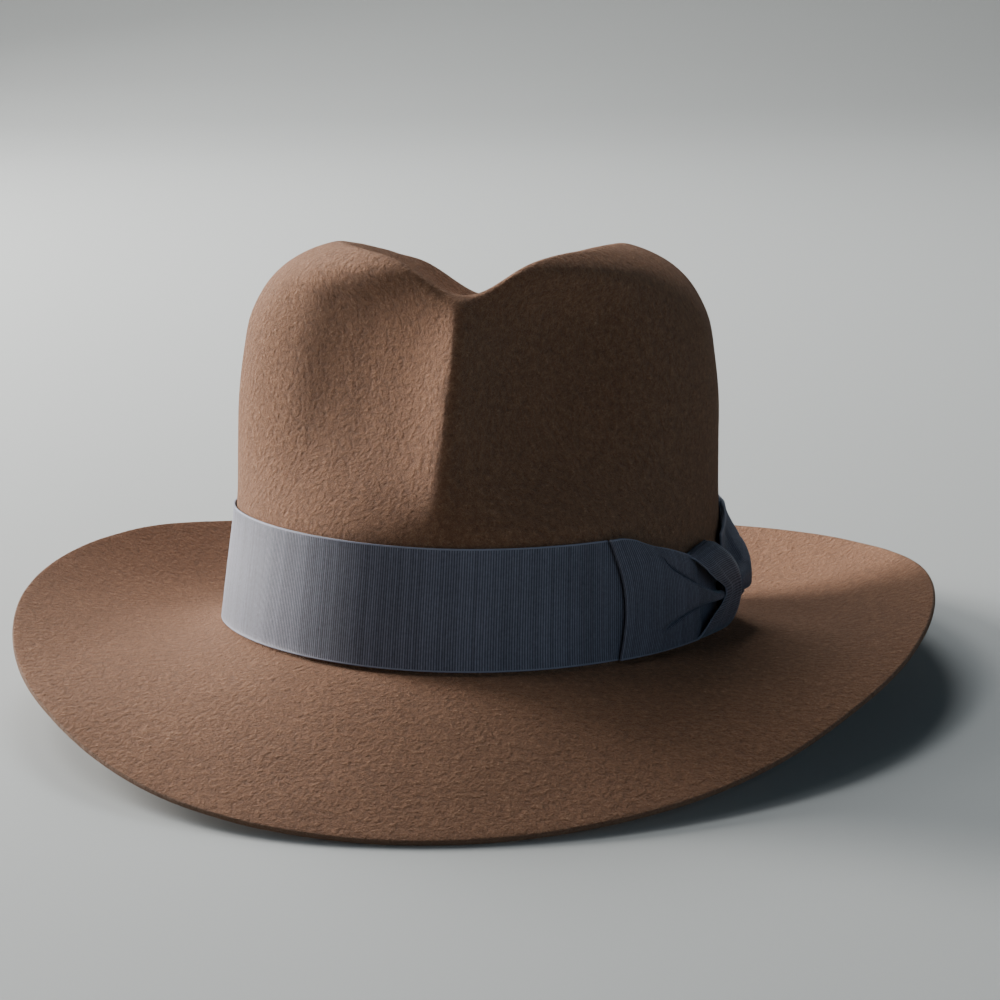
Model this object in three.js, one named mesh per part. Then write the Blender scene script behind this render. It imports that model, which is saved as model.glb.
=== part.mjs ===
// A soft felt hat with a creased crown, a wide dipping brim and a ribbon with a side bow.
// Millimetres. Z is up, the front of the hat faces -Y and the bow is on the +X side.
// The hat lies on its brim, as it rests by itself on a level floor.

import * as THREE from 'three';
import { LoftGeometry } from 'three/addons/geometries/LoftGeometry.js';
import { ConvexHull } from 'three/addons/math/ConvexHull.js';

// Head opening and crown, measured on the outside of the felt.
const footHalfWidth = 85;
const footHalfLength = 101;
const crownHeight = 134;
const feltThickness = 2;
// How far the foot of the crown rises at the sides and falls at front and back.
const footSaddle = 2.3;
// How far the crown leans towards the bow.
const crownLean = 1.2;

// Brim, from the foot of the crown to its cut edge.
const brimWidth = 70.5;
const frontDrop = 38.6;
const edgeLift = 19;
// How far the brim sinks between its foot and its edge at the sides.
const brimDip = 4;

// Creases pushed into the crown.
const topDentDepth = 34;
const frontPinchDepth = 17;
// Half of the angle round the front that the two pinches take up, in degrees.
const frontPinchReach = 76;
// Where the ridge between the pinches stands, in degrees round the crown, at its top and foot.
const ridgeTopTurn = -91;
const ridgeFootTurn = -94.5;

// Ribbon round the foot of the crown.
const ribbonWidth = 38;
const ribbonThickness = 0.8;
const ribbonLift = 1;
const clearance = 0.3;

// Bow on the side. Angles are degrees round the crown from the +X side, rising towards the back.
const bowHeight = 10.5;
const bowMiddle = -21;
const knotLength = 28;
const wingLength = 43;
// How far the ends of the ribbon run on underneath the wings.
const ribbonTuck = 12;

// How finely the curved faces are stepped.
const turnsAround = 72;
const crownSteps = 24;
const brimSteps = 7;
const bandSteps = 76;
const wingSteps = 12;
const knotSteps = 9;
const bandStepsAcross = 3;
const bowStepsAcross = 7;

const feltColour = '#7d5b48';
const ribbonColour = '#3b3f4b';

// Each row is a level of the crown before it is creased. along runs over the felt from foot to
// top, up is a share of crownHeight, wide of footHalfWidth, front and back of footHalfLength.
const crownSections = [
  { along: 0, up: 0, wide: 1, front: 1, back: 1 },
  { along: 0.1, up: 0.146, wide: 0.981, front: 0.978, back: 0.976 },
  { along: 0.198, up: 0.288, wide: 0.963, front: 0.958, back: 0.953 },
  { along: 0.312, up: 0.45, wide: 0.958, front: 0.938, back: 0.935 },
  { along: 0.405, up: 0.585, wide: 0.952, front: 0.918, back: 0.912 },
  { along: 0.489, up: 0.705, wide: 0.932, front: 0.9, back: 0.885 },
  { along: 0.542, up: 0.78, wide: 0.911, front: 0.888, back: 0.862 },
  { along: 0.588, up: 0.842, wide: 0.866, front: 0.87, back: 0.832 },
  { along: 0.627, up: 0.887, wide: 0.812, front: 0.845, back: 0.795 },
  { along: 0.669, up: 0.925, wide: 0.737, front: 0.8, back: 0.74 },
  { along: 0.72, up: 0.956, wide: 0.632, front: 0.73, back: 0.66 },
  { along: 0.787, up: 0.978, wide: 0.484, front: 0.6, back: 0.54 },
  { along: 0.876, up: 0.993, wide: 0.284, front: 0.36, back: 0.32 },
  { along: 1, up: 1, wide: 0, front: 0, back: 0 },
];

// The long dent along the top. place is a share of footHalfLength towards the back, deep a share
// of topDentDepth and wide a share of footHalfWidth.
const topDentRows = [
  { place: -0.95, deep: 0, wide: 0.12 },
  { place: -0.87, deep: 0.12, wide: 0.15 },
  { place: -0.81, deep: 0.26, wide: 0.2 },
  { place: -0.74, deep: 0.4, wide: 0.27 },
  { place: -0.64, deep: 0.56, wide: 0.37 },
  { place: -0.5, deep: 0.72, wide: 0.47 },
  { place: -0.28, deep: 0.91, wide: 0.55 },
  { place: 0, deep: 1, wide: 0.59 },
  { place: 0.3, deep: 0.94, wide: 0.57 },
  { place: 0.57, deep: 0.74, wide: 0.47 },
  { place: 0.69, deep: 0.54, wide: 0.36 },
  { place: 0.77, deep: 0.4, wide: 0.3 },
  { place: 0.86, deep: 0.2, wide: 0.23 },
  { place: 0.95, deep: 0, wide: 0.16 },
];

// One front pinch from the middle ridge outwards. turn is a share of frontPinchReach and deep a
// share of frontPinchDepth.
const pinchAcross = [
  { turn: 0, deep: 0 },
  { turn: 0.03, deep: 0.13 },
  { turn: 0.07, deep: 0.36 },
  { turn: 0.13, deep: 0.63 },
  { turn: 0.2, deep: 0.83 },
  { turn: 0.29, deep: 0.96 },
  { turn: 0.38, deep: 1 },
  { turn: 0.52, deep: 0.88 },
  { turn: 0.7, deep: 0.5 },
  { turn: 0.86, deep: 0.17 },
  { turn: 1, deep: 0 },
];

// The same pinch from the ribbon upwards. up is a share of crownHeight.
const pinchUpwards = [
  { up: 0.28, deep: 0 },
  { up: 0.31, deep: 0.03 },
  { up: 0.345, deep: 0.18 },
  { up: 0.395, deep: 0.47 },
  { up: 0.46, deep: 0.75 },
  { up: 0.55, deep: 0.93 },
  { up: 0.65, deep: 1 },
  { up: 0.75, deep: 1 },
  { up: 0.8, deep: 0.93 },
  { up: 0.84, deep: 0.73 },
  { up: 0.88, deep: 0.4 },
  { up: 0.91, deep: 0.17 },
  { up: 0.95, deep: 0.03 },
  { up: 0.98, deep: 0 },
];

// The cut edge of the brim all the way round. droop is a share of frontDrop, lift a share of
// edgeLift, curl says how late the brim bends on its way out, and dip is a share of brimDip.
const brimEdge = [
  { turn: -180, droop: 0, lift: 0.46, curl: 1.8, dip: 1 },
  { turn: -150, droop: 0.4, lift: 0.16, curl: 1.5, dip: 0.9 },
  { turn: -120, droop: 0.86, lift: 0, curl: 1.3, dip: 0.4 },
  { turn: -90, droop: 1, lift: 0, curl: 1.25, dip: 0 },
  { turn: -60, droop: 0.72, lift: 0, curl: 1.3, dip: 0 },
  { turn: -30, droop: 0.16, lift: 0.15, curl: 1.6, dip: 0.2 },
  { turn: 0, droop: 0, lift: 0.85, curl: 1.9, dip: 0.5 },
  { turn: 30, droop: 0, lift: 1.01, curl: 1.8, dip: 0.5 },
  { turn: 60, droop: 0, lift: 0.95, curl: 1.6, dip: 0.3 },
  { turn: 90, droop: 0, lift: 0.87, curl: 1.5, dip: 0.2 },
  { turn: 120, droop: 0, lift: 0.92, curl: 1.6, dip: 0.4 },
  { turn: 150, droop: 0, lift: 1.03, curl: 1.8, dip: 0.8 },
  { turn: 180, droop: 0, lift: 0.46, curl: 1.8, dip: 1 },
];

// One bow wing from its folded end to the knot. low and high are shares of ribbonWidth, and
// edge and body say how far its rim and its middle stand out, as shares of bowHeight.
const frontWingSections = [
  { along: 0, low: 0, high: 1, edge: 0.28, body: 0.3 },
  { along: 0.17, low: 0, high: 0.97, edge: 0.31, body: 0.38 },
  { along: 0.4, low: 0, high: 0.9, edge: 0.34, body: 0.46 },
  { along: 0.63, low: 0.01, high: 0.83, edge: 0.37, body: 0.52 },
  { along: 0.8, low: 0.01, high: 0.76, edge: 0.38, body: 0.55 },
  { along: 1, low: 0.02, high: 0.7, edge: 0.38, body: 0.56 },
];
const rearWingSections = [
  { along: 0, low: 0, high: 1, edge: 0.3, body: 0.32 },
  { along: 0.15, low: 0, high: 1, edge: 0.3, body: 0.42 },
  { along: 0.35, low: 0, high: 0.99, edge: 0.31, body: 0.58 },
  { along: 0.6, low: 0.02, high: 0.96, edge: 0.33, body: 0.74 },
  { along: 0.8, low: 0.03, high: 0.92, edge: 0.34, body: 0.82 },
  { along: 1, low: 0.04, high: 0.86, edge: 0.35, body: 0.84 },
];

// The knot from its front edge to its back edge.
const knotSections = [
  { along: 0, low: 0.02, high: 0.75, edge: 0.36, body: 0.58 },
  { along: 0.14, low: 0, high: 0.76, edge: 0.46, body: 0.72 },
  { along: 0.4, low: 0, high: 0.78, edge: 0.52, body: 0.82 },
  { along: 0.7, low: 0, high: 0.8, edge: 0.56, body: 0.9 },
  { along: 0.9, low: 0.01, high: 0.81, edge: 0.54, body: 0.91 },
  { along: 1, low: 0.03, high: 0.81, edge: 0.46, body: 0.85 },
];

const topDentStart = 0.55;
const topDentFull = 0.8;
const saddleFadeStart = 0.4;
const leanFull = 0.35;
const ridgeFoot = 0.3;
const ridgeTop = 0.85;
// Below 1 these bring the deepest place of the dip nearer the crown, and round a bow piece more.
const dipPlace = 0.75;
const bowRoundness = 0.6;
const normalStep = 0.001;
const stationStep = 1e-7;

function radians(degrees) {
  return degrees * Math.PI / 180;
}

// Slope of a smooth curve at a table row, from the rows on each side of it.
function rowSlope(rows, key, column, index, closed) {
  const last = rows.length - 1;
  const before = index > 0 ? index - 1 : (closed ? last - 1 : 0);
  const after = index < last ? index + 1 : (closed ? 1 : last);
  const rise = rows[after][column] - rows[before][column];
  let run = rows[after][key] - rows[before][key];
  if (closed && (index === 0 || index === last)) {
    run += rows[last][key] - rows[0][key];
  }
  return rise / run;
}

// Reads one column of a table at any place, on a smooth curve through the rows.
function readTable(rows, key, column, place, closed = false) {
  const last = rows.length - 1;
  if (place <= rows[0][key]) {
    return rows[0][column];
  }
  if (place >= rows[last][key]) {
    return rows[last][column];
  }
  let index = 0;
  while (place > rows[index + 1][key]) {
    index += 1;
  }
  const run = rows[index + 1][key] - rows[index][key];
  const t = (place - rows[index][key]) / run;
  const startSlope = rowSlope(rows, key, column, index, closed) * run;
  const endSlope = rowSlope(rows, key, column, index + 1, closed) * run;
  const start = rows[index][column];
  const end = rows[index + 1][column];
  const square = t * t;
  const cube = square * t;
  return start * (2 * cube - 3 * square + 1) + startSlope * (cube - 2 * square + t)
    + end * (3 * square - 2 * cube) + endSlope * (cube - square);
}

function wrapTurn(turn) {
  return turn - 360 * Math.round(turn / 360);
}

function saddleAt(turn) {
  return footSaddle * Math.cos(radians(2 * turn));
}

// A point on the outside of the crown.
function crownPoint(turn, along) {
  const sine = Math.sin(radians(turn));
  const cosine = Math.cos(radians(turn));
  const side = sine < 0 ? 'front' : 'back';
  const up = readTable(crownSections, 'along', 'up', along);
  const wide = footHalfWidth * readTable(crownSections, 'along', 'wide', along);
  const long = footHalfLength * readTable(crownSections, 'along', side, along);
  const ridgeTurn = THREE.MathUtils.lerp(
    ridgeFootTurn,
    ridgeTopTurn,
    THREE.MathUtils.smoothstep(up, ridgeFoot, ridgeTop),
  );
  const fromFront = Math.abs(wrapTurn(turn - ridgeTurn)) / frontPinchReach;
  const push = frontPinchDepth * readTable(pinchAcross, 'turn', 'deep', fromFront)
    * readTable(pinchUpwards, 'up', 'deep', up);
  const reach = Math.max(Math.hypot(wide * cosine, long * sine), normalStep);
  const keep = Math.max(0, 1 - push / reach);
  const x = wide * cosine * keep;
  const y = long * sine * keep;
  const place = y / footHalfLength;
  const deep = topDentDepth * readTable(topDentRows, 'place', 'deep', place)
    * THREE.MathUtils.smoothstep(up, topDentStart, topDentFull);
  const dentWidth = footHalfWidth * readTable(topDentRows, 'place', 'wide', place);
  const across = Math.min(1, Math.abs(x) / dentWidth);
  const saddle = saddleAt(turn) * (1 - THREE.MathUtils.smoothstep(up, saddleFadeStart, topDentFull));
  const z = crownHeight * up + saddle - deep * (1 - across * across) ** 2;
  const lean = crownLean * THREE.MathUtils.smoothstep(up, 0, leanFull);
  return new THREE.Vector3(x + lean, y, z);
}

// A point on the upper side of the brim, from the foot of the crown (0) to the cut edge (1).
function brimPoint(turn, out) {
  const place = wrapTurn(turn);
  const droop = readTable(brimEdge, 'turn', 'droop', place, true);
  const lift = readTable(brimEdge, 'turn', 'lift', place, true);
  const curl = readTable(brimEdge, 'turn', 'curl', place, true);
  const edgeHeight = edgeLift * lift - frontDrop * droop;
  const dip = brimDip * readTable(brimEdge, 'turn', 'dip', place, true)
    * Math.sin(Math.PI * out ** dipPlace);
  return new THREE.Vector3(
    (footHalfWidth + brimWidth * out) * Math.cos(radians(turn)),
    (footHalfLength + brimWidth * out) * Math.sin(radians(turn)),
    saddleAt(turn) * (1 - out) + edgeHeight * out ** curl - dip,
  );
}

// The outer side of the whole felt body: station 0 is the top, 1 the foot and 2 the cut edge.
function feltPoint(turn, station) {
  return station <= 1 ? crownPoint(turn, 1 - station) : brimPoint(turn, station - 1);
}

// A point at a distance from the felt along its outward normal.
function standOff(turn, station, distance) {
  const point = feltPoint(turn, station);
  if (station < normalStep) {
    return point.setZ(point.z + distance);
  }
  const nextStation = Math.min(station + normalStep, 2);
  const outwards = feltPoint(turn, nextStation).sub(feltPoint(turn, station - normalStep));
  const around = feltPoint(turn + normalStep, station).sub(feltPoint(turn - normalStep, station));
  const normal = outwards.cross(around).normalize();
  return point.addScaledVector(normal, distance);
}

// The station on the crown at a height above the foot.
function stationAtHeight(height) {
  let low = 0;
  let high = 1;
  while (high - low > stationStep) {
    const middle = (low + high) / 2;
    if (readTable(crownSections, 'along', 'up', middle) * crownHeight < height) {
      low = middle;
    } else {
      high = middle;
    }
  }
  return 1 - low;
}

// A point over the ribbon's path: share 0 is its lower edge and 1 its upper edge.
function ribbonPoint(turn, share, distance) {
  return standOff(turn, stationAtHeight(ribbonLift + ribbonWidth * share), distance);
}

// Degrees round the crown that a length takes up on the ribbon near the bow.
function turnForLength(length) {
  const start = ribbonPoint(bowMiddle - 0.5, 0.5, 0);
  const end = ribbonPoint(bowMiddle + 0.5, 0.5, 0);
  return length / start.distanceTo(end);
}

function steps(count) {
  return Array.from({ length: count + 1 }, (unused, index) => index / count);
}

function feltGeometry() {
  const crownStations = steps(crownSteps);
  const brimStations = steps(brimSteps).slice(1).map((share) => 1 + share);
  const stations = [...crownStations, ...brimStations];
  const firstTurn = (ridgeTopTurn + ridgeFootTurn) / 2;
  const turns = steps(turnsAround).slice(0, turnsAround).map((share) => firstTurn + 360 * share);
  const outside = stations.map((station) => turns.map((turn) => feltPoint(turn, station)));
  const inside = stations.map((station) => turns.map((turn) => standOff(turn, station, -feltThickness)));
  return new LoftGeometry([...inside, ...outside.reverse()]);
}

// One closed strip section: up its inner side and down its outer side.
function stripSection(turn, low, high, count, innerDistance, outerDistance) {
  const shares = steps(count).map((share) => low + (high - low) * share);
  const inner = shares.map((share) => ribbonPoint(turn, share, innerDistance));
  const outer = shares.map((share, index) => ribbonPoint(turn, share, outerDistance(index / count)));
  return [...inner, ...outer.reverse()];
}

function ribbonGeometry(startTurn, endTurn) {
  const outerDistance = clearance + ribbonThickness;
  const sections = steps(bandSteps).map((share) => {
    const turn = startTurn + (endTurn - startTurn) * share;
    return stripSection(turn, 0, 1, bandStepsAcross, clearance, () => outerDistance);
  });
  return new LoftGeometry(sections, { capStart: true, capEnd: true });
}

// A piece of the bow. startTurn is where the first row of its table lies.
function bowGeometry(rows, startTurn, endTurn, count) {
  const innerDistance = clearance + ribbonThickness + clearance;
  const sections = steps(count).map((along) => {
    const turn = startTurn + (endTurn - startTurn) * along;
    const low = readTable(rows, 'along', 'low', along);
    const high = readTable(rows, 'along', 'high', along);
    const edge = bowHeight * readTable(rows, 'along', 'edge', along);
    const body = bowHeight * readTable(rows, 'along', 'body', along);
    const outerDistance = (share) => edge + (body - edge) * Math.sin(Math.PI * share) ** bowRoundness;
    return stripSection(turn, low, high, bowStepsAcross, innerDistance, outerDistance);
  });
  if (startTurn > endTurn) {
    sections.reverse();
  }
  return new LoftGeometry(sections, { capStart: true, capEnd: true });
}

function namedMesh(name, geometry, material) {
  const mesh = new THREE.Mesh(geometry, material);
  mesh.name = name;
  return mesh;
}

const knotTurn = turnForLength(knotLength);
const wingTurn = turnForLength(wingLength);
const gapTurn = turnForLength(clearance);
const tuckTurn = turnForLength(ribbonTuck);
const knotFront = bowMiddle - knotTurn / 2;
const knotBack = bowMiddle + knotTurn / 2;
const frontFold = knotFront - gapTurn - wingTurn;
const rearFold = knotBack + gapTurn + wingTurn;

function feltMaterial() {
  return new THREE.MeshStandardMaterial({ color: feltColour, roughness: 0.95, metalness: 0 });
}

function ribbonMaterial() {
  return new THREE.MeshStandardMaterial({ color: ribbonColour, roughness: 0.7, metalness: 0 });
}

const pieces = [
  namedMesh('felt_body', feltGeometry(), feltMaterial()),
  namedMesh(
    'ribbon_band',
    ribbonGeometry(rearFold - tuckTurn - 360, frontFold + tuckTurn),
    ribbonMaterial(),
  ),
  namedMesh(
    'bow_front_wing',
    bowGeometry(frontWingSections, frontFold, knotFront - gapTurn, wingSteps),
    ribbonMaterial(),
  ),
  namedMesh('bow_knot', bowGeometry(knotSections, knotFront, knotBack, knotSteps), ribbonMaterial()),
  namedMesh(
    'bow_rear_wing',
    bowGeometry(rearWingSections, rearFold, knotBack + gapTurn, wingSteps),
    ribbonMaterial(),
  ),
];

// Centre of mass of a set of closed meshes of one density.
function massCentre(meshes) {
  const centre = new THREE.Vector3();
  let total = 0;
  for (const mesh of meshes) {
    const position = mesh.geometry.getAttribute('position');
    const index = mesh.geometry.getIndex();
    for (let i = 0; i < index.count; i += 3) {
      const corners = [0, 1, 2].map((k) => {
        return new THREE.Vector3().fromBufferAttribute(position, index.getX(i + k));
      });
      const volume = corners[0].dot(new THREE.Vector3().crossVectors(corners[1], corners[2])) / 6;
      total += volume;
      for (const corner of corners) {
        centre.addScaledVector(corner, volume / 4);
      }
    }
  }
  return centre.divideScalar(total);
}

// The face of the hat's convex hull that it comes to rest on: the lowest-facing one whose
// outline the centre of mass lies above.
function restingNormal(meshes) {
  const points = [];
  for (const mesh of meshes) {
    const position = mesh.geometry.getAttribute('position');
    for (let i = 0; i < position.count; i += 1) {
      points.push(new THREE.Vector3().fromBufferAttribute(position, i));
    }
  }
  const centre = massCentre(meshes);
  const hull = new ConvexHull().setFromPoints(points);
  let best = null;
  for (const face of hull.faces) {
    const corners = [];
    let edge = face.edge;
    do {
      corners.push(edge.head().point);
      edge = edge.next;
    } while (edge !== face.edge);
    const foot = centre.clone().addScaledVector(face.normal, -face.distanceToPoint(centre));
    const holds = corners.every((corner, i) => {
      const side = corners[(i + 1) % corners.length].clone().sub(corner);
      return side.cross(foot.clone().sub(corner)).dot(face.normal) >= 0;
    });
    if (holds && (best === null || face.normal.z < best.z)) {
      best = face.normal.clone();
    }
  }
  return best;
}

const hat = new THREE.Group();
hat.add(...pieces);
const down = new THREE.Vector3(0, 0, -1);
hat.quaternion.setFromUnitVectors(restingNormal(pieces), down);
hat.updateMatrixWorld(true);
const box = new THREE.Box3().setFromObject(hat, true);
const middle = box.getCenter(new THREE.Vector3());
hat.position.set(-middle.x, -middle.y, -box.min.z);

export default hat;
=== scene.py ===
import bpy
import bmesh
import math
import numpy as np
from mathutils import Matrix, Vector, noise


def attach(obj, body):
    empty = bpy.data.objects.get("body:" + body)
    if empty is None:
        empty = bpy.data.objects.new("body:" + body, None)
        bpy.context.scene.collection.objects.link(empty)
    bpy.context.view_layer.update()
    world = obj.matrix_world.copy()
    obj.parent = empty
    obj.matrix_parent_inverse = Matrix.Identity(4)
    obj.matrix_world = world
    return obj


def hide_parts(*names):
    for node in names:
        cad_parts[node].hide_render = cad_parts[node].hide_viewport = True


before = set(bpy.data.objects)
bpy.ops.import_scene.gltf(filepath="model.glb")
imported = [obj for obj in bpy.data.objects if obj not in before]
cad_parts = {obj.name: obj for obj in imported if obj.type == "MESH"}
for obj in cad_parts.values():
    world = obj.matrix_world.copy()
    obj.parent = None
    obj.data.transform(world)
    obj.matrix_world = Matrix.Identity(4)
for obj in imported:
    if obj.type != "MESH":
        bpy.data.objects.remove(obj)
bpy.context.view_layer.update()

mm = 0.001

# The hat's own axes: z up from the foot of the crown, front towards -y, bow on the +x side.
# Lengths are millimetres until restPlace() puts them on the floor in metres.
hat = {
    "halfWidth": 85.0,
    "halfLength": 101.0,
    "crownHeight": 134.0,
    "saddle": 2.3,
    "saddleFade": (0.4, 0.8),
    "crownLean": 1.2,
    "leanBlend": (0, 0.35),
    "ridgeTop": -91.0,
    "ridgeFoot": -94.5,
    "ridgeBlend": (0.3, 0.85),
    "brimWidth": 70.5,
    "frontDrop": 38.6,
    "edgeLift": 19.0,
    "brimDip": 4.0,
    "dipShape": 0.75,
    "topDent": 34.0,
    "dentBlend": (0.55, 0.8),
    "frontPinch": 17.0,
    "pinchReach": 76.0,
    "ribbonWidth": 38.0,
    "ribbonLift": 1.0,
    "restTurn": (0.997806666193473, -0.06420678906919143, 0.016104196263440472, 0.0),
    "restShift": (-0.4868653199766726, 1.1397212621307915, 18.05008998509501),
}

# along, up, wide, front, back
crownRows = [
    (0, 0, 1, 1, 1),
    (0.1, 0.146, 0.981, 0.978, 0.976),
    (0.198, 0.288, 0.963, 0.958, 0.953),
    (0.312, 0.45, 0.958, 0.938, 0.935),
    (0.405, 0.585, 0.952, 0.918, 0.912),
    (0.489, 0.705, 0.932, 0.9, 0.885),
    (0.542, 0.78, 0.911, 0.888, 0.862),
    (0.588, 0.842, 0.866, 0.87, 0.832),
    (0.627, 0.887, 0.812, 0.845, 0.795),
    (0.669, 0.925, 0.737, 0.8, 0.74),
    (0.72, 0.956, 0.632, 0.73, 0.66),
    (0.787, 0.978, 0.484, 0.6, 0.54),
    (0.876, 0.993, 0.284, 0.36, 0.32),
    (1, 1, 0, 0, 0),
]
# place, deep, wide
topDentRows = [
    (-0.95, 0, 0.12), (-0.87, 0.12, 0.15), (-0.81, 0.26, 0.2), (-0.74, 0.4, 0.27),
    (-0.64, 0.56, 0.37), (-0.5, 0.72, 0.47), (-0.28, 0.91, 0.55), (0, 1, 0.59),
    (0.3, 0.94, 0.57), (0.57, 0.74, 0.47), (0.69, 0.54, 0.36), (0.77, 0.4, 0.3),
    (0.86, 0.2, 0.23), (0.95, 0, 0.16),
]
# turn from the ridge, deep
pinchAcross = [
    (0, 0), (0.03, 0.13), (0.07, 0.36), (0.13, 0.63), (0.2, 0.83), (0.29, 0.96), (0.38, 1), (0.52, 0.88),
    (0.7, 0.5), (0.86, 0.17), (1, 0),
]
# up, deep
pinchUpwards = [
    (0.28, 0), (0.31, 0.03), (0.345, 0.18), (0.395, 0.47), (0.46, 0.75), (0.55, 0.93), (0.65, 1),
    (0.75, 1), (0.8, 0.93), (0.84, 0.73), (0.88, 0.4), (0.91, 0.17), (0.95, 0.03), (0.98, 0),
]
# turn, droop, lift, curl, dip
brimRows = [
    (-180, 0, 0.46, 1.8, 1), (-150, 0.4, 0.16, 1.5, 0.9), (-120, 0.86, 0, 1.3, 0.4), (-90, 1, 0, 1.25, 0),
    (-60, 0.72, 0, 1.3, 0), (-30, 0.16, 0.15, 1.6, 0.2), (0, 0, 0.85, 1.9, 0.5), (30, 0, 1.01, 1.8, 0.5),
    (60, 0, 0.95, 1.6, 0.3), (90, 0, 0.87, 1.5, 0.2), (120, 0, 0.92, 1.6, 0.4), (150, 0, 1.03, 1.8, 0.8),
    (180, 0, 0.46, 1.8, 1),
]


def readRows(rows, column, place, closed=False):
    # smooth curve through the rows of a table, read at many places at once
    keys = np.array([row[0] for row in rows], float)
    values = np.array([row[column] for row in rows], float)
    slopes = np.empty(len(rows))
    slopes[1:-1] = (values[2:] - values[:-2]) / (keys[2:] - keys[:-2])
    if closed:
        span = keys[1] - keys[0] + keys[-1] - keys[-2]
        slopes[0] = slopes[-1] = (values[1] - values[-2]) / span
    else:
        slopes[0] = (values[1] - values[0]) / (keys[1] - keys[0])
        slopes[-1] = (values[-1] - values[-2]) / (keys[-1] - keys[-2])
    place = np.clip(np.asarray(place, float), keys[0], keys[-1])
    index = np.clip(np.searchsorted(keys, place, side="left") - 1, 0, len(rows) - 2)
    run = keys[index + 1] - keys[index]
    t = (place - keys[index]) / run
    return (values[index] * (2 * t**3 - 3 * t**2 + 1) + slopes[index] * run * (t**3 - 2 * t**2 + t)
            + values[index + 1] * (3 * t**2 - 2 * t**3) + slopes[index + 1] * run * (t**3 - t**2))


def smoothStep(value, start, end):
    t = np.clip((value - start) / (end - start), 0, 1)
    return t * t * (3 - 2 * t)


def wrapTurn(turn):
    return turn - 360 * np.round(turn / 360)


def crownPoint(turn, along):
    sine, cosine = np.sin(np.radians(turn)), np.cos(np.radians(turn))
    up = readRows(crownRows, 1, along)
    wide = hat["halfWidth"] * readRows(crownRows, 2, along)
    frontLong, backLong = readRows(crownRows, 3, along), readRows(crownRows, 4, along)
    long = hat["halfLength"] * np.where(sine < 0, frontLong, backLong)
    ridgeTurn = hat["ridgeFoot"] + (hat["ridgeTop"] - hat["ridgeFoot"]) * smoothStep(up, *hat["ridgeBlend"])
    fromFront = np.abs(wrapTurn(turn - ridgeTurn)) / hat["pinchReach"]
    push = hat["frontPinch"] * readRows(pinchAcross, 1, fromFront) * readRows(pinchUpwards, 1, up)
    reach = np.maximum(np.hypot(wide * cosine, long * sine), 0.001)
    keep = np.maximum(0, 1 - push / reach)
    x, y = wide * cosine * keep, long * sine * keep
    place = y / hat["halfLength"]
    deep = hat["topDent"] * readRows(topDentRows, 1, place) * smoothStep(up, *hat["dentBlend"])
    across = np.minimum(1, np.abs(x) / (hat["halfWidth"] * readRows(topDentRows, 2, place)))
    saddle = hat["saddle"] * np.cos(np.radians(2 * turn)) * (1 - smoothStep(up, *hat["saddleFade"]))
    z = hat["crownHeight"] * up + saddle - deep * (1 - across**2) ** 2
    lean = hat["crownLean"] * smoothStep(up, *hat["leanBlend"])
    return np.stack([x + lean, y, z], -1)


def brimPoint(turn, out):
    place = wrapTurn(turn)
    edge = (hat["edgeLift"] * readRows(brimRows, 2, place, True)
            - hat["frontDrop"] * readRows(brimRows, 1, place, True))
    saddle = hat["saddle"] * np.cos(np.radians(2 * turn))
    dip = hat["brimDip"] * readRows(brimRows, 4, place, True) * np.sin(np.pi * out ** hat["dipShape"])
    return np.stack([
        (hat["halfWidth"] + hat["brimWidth"] * out) * np.cos(np.radians(turn)),
        (hat["halfLength"] + hat["brimWidth"] * out) * np.sin(np.radians(turn)),
        saddle * (1 - out) + edge * out ** readRows(brimRows, 3, place, True) - dip], -1)


def feltPoint(turn, station):
    # station 0 is the top of the crown, 1 its foot and 2 the cut edge of the brim
    turn, station = np.broadcast_arrays(np.asarray(turn, float), np.asarray(station, float))
    crown = crownPoint(turn, np.clip(1 - station, 0, 1))
    brim = brimPoint(turn, np.clip(station - 1, 0, 1))
    return np.where((station <= 1)[..., None], crown, brim)


def feltNormal(turn, station):
    step = 0.001
    outwards = feltPoint(turn, np.minimum(station + step, 2)) - feltPoint(turn, station - step)
    around = feltPoint(turn + step, station) - feltPoint(turn - step, station)
    normal = np.cross(outwards, around)
    return normal / np.linalg.norm(normal, axis=-1, keepdims=True)


fineSteps = 2000
fineAlong = np.linspace(0, 1, fineSteps + 1)
fineUp = readRows(crownRows, 1, fineAlong)


def ribbonPoint(turn, share, distance):
    # a point over the ribbon's path, from its lower edge (0) to its upper edge (1)
    turn, share, distance = np.broadcast_arrays(turn, share, distance)
    up = (hat["ribbonLift"] + hat["ribbonWidth"] * share) / hat["crownHeight"]
    station = 1 - np.interp(up, fineUp, fineAlong)
    return feltPoint(turn, station) + feltNormal(turn, station) * distance[..., None]


def turnMatrix(w, x, y, z):
    return np.array([
        [1 - 2 * (y * y + z * z), 2 * (x * y - z * w), 2 * (x * z + y * w)],
        [2 * (x * y + z * w), 1 - 2 * (x * x + z * z), 2 * (y * z - x * w)],
        [2 * (x * z - y * w), 2 * (y * z + x * w), 1 - 2 * (x * x + y * y)],
    ])


restMatrix = turnMatrix(*hat["restTurn"])


def restPlace(points):
    # from the hat's own axes to its place on the floor, in metres
    return (np.asarray(points) @ restMatrix.T + np.array(hat["restShift"])) * mm


# camera and lights

# angles in degrees, distance in millimetres, near and far in metres, the rest in picture pixels
view = {
    "elevation": 8.5,
    "yaw": -3.5,
    "roll": -0.35,
    "distance": 1000.0,
    "pixels": 2912.0,
    "picture": 1000,
    "hatPixel": (475.9, 620.7),
    "near": 0.05,
    "far": 30,
}


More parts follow.
